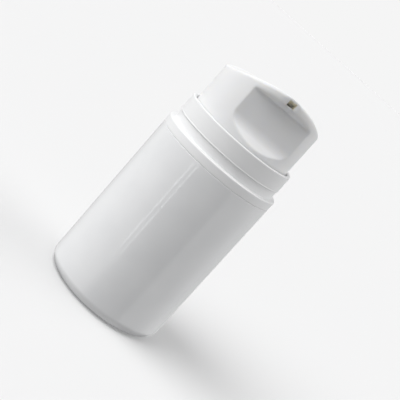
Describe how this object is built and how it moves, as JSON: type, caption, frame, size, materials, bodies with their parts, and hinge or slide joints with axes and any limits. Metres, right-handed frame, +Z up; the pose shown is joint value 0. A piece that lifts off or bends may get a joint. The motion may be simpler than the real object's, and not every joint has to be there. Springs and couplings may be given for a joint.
{
  "type": "airless pump bottle",
  "caption": "Round white airless dispenser bottle with a spring-return pump head, sloping finger dish, front nozzle recess and a follower piston that rises as it empties.",
  "frame": {"origin": "centre of the base, on the surface that the bottle stands on", "axes": "+Z up along the bottle's axis, -Y towards the nozzle"},
  "size_m": [0.054, 0.054, 0.1121],
  "materials": {
    "bottle_white": "gloss",
    "collar_white": "satin gloss",
    "head_white": "satin gloss",
    "pump_plastic": "natural",
    "piston_plastic": "waxy",
    "seal_rubber": "matte",
    "spring_steel": "drawn wire",
    "ball_steel": "polished"
  },
  "bodies": {
    "bottle": {"bottle_body": "bottle_white", "closure_collar": "collar_white", "mouth_gasket": "seal_rubber", "pump_housing": "pump_plastic", "housing_gasket": "seal_rubber", "housing_cap": "pump_plastic", "stem_seal": "seal_rubber", "valve_cage": "pump_plastic", "return_spring": "spring_steel"},
    "plunger": {"stem": "pump_plastic", "piston_seat": "pump_plastic"},
    "head": {"actuator_shell": "head_white", "spout_core": "pump_plastic"},
    "piston": {"pump_piston": "piston_plastic"},
    "ball": {"inlet_ball": "ball_steel"},
    "follower": {"follower_piston": "piston_plastic"}
  },
  "joints": [
    {"name": "pump_stroke", "type": "slide", "parent": "bottle", "child": "plunger", "axis": [0, 0, -1], "range_m": [0, 0.005], "stiffness_N_per_m": 900, "springref_m": -0.006, "deforming": ["return_spring"]},
    {"name": "head_swivel", "type": "hinge", "parent": "plunger", "child": "head", "pos_m": [0, 0, 0.091], "axis": [0, 0, 1], "continuous": true},
    {"name": "piston_follow", "type": "slide", "parent": "bottle", "child": "piston", "axis": [0, 0, -1], "range_m": [0, 0.004]},
    {"name": "inlet_ball_lift", "type": "slide", "parent": "bottle", "child": "ball", "axis": [0, 0, 1], "range_m": [0, 0.0008]},
    {"name": "follower_rise", "type": "slide", "parent": "bottle", "child": "follower", "axis": [0, 0, 1], "range_m": [0, 0.0445]}
  ],
  "couplings": [
    {"joint": "piston_follow", "follows": "pump_stroke", "ratio": 0.8}
  ]
}
